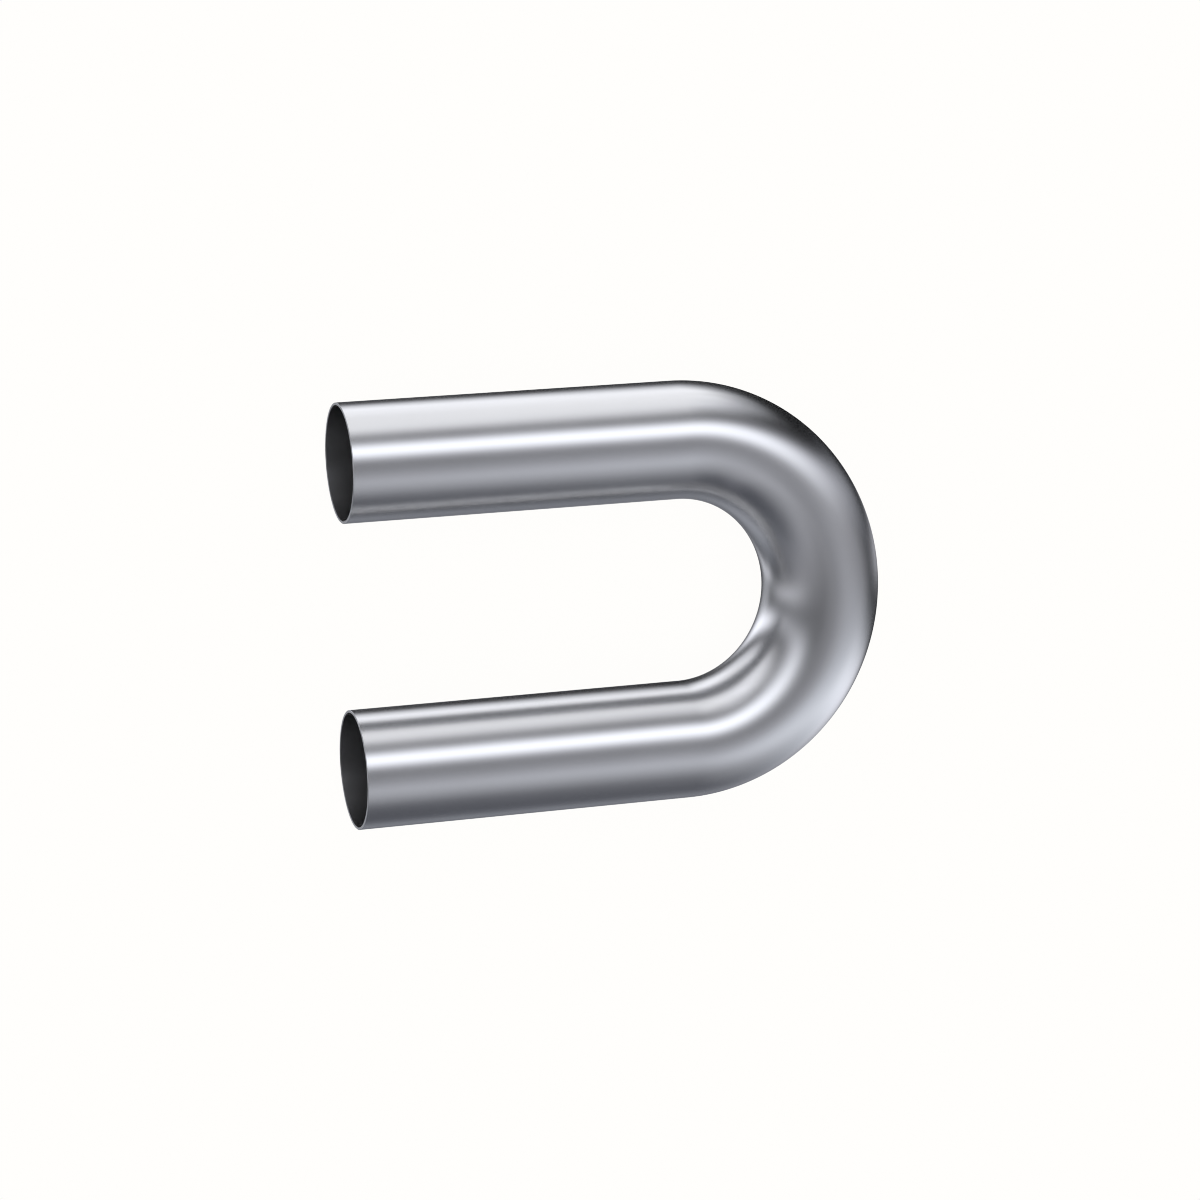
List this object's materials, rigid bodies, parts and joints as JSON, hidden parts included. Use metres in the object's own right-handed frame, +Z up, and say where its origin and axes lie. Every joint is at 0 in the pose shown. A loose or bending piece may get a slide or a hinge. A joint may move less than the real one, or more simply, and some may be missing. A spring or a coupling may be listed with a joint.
{
  "type": "return bend",
  "caption": "Thin-walled round steel tube bent through a half turn, with two equal straight parallel legs and square open ends.",
  "frame": {"origin": "centre of the bounding box's underside: midway between the legs, halfway along the part, at the height of the surface it lies on", "axes": "+X from the open ends towards the bend, +Y across the legs towards leg A, +Z up, square to the plane of the bend"},
  "size_m": [0.2964, 0.2264, 0.0635],
  "materials": {
    "steel": "satin polished outside, dull dark grey inside, bare sawn rims"
  },
  "bodies": {
    "root": {"bent_tube": "steel"}
  },
  "joints": []
}
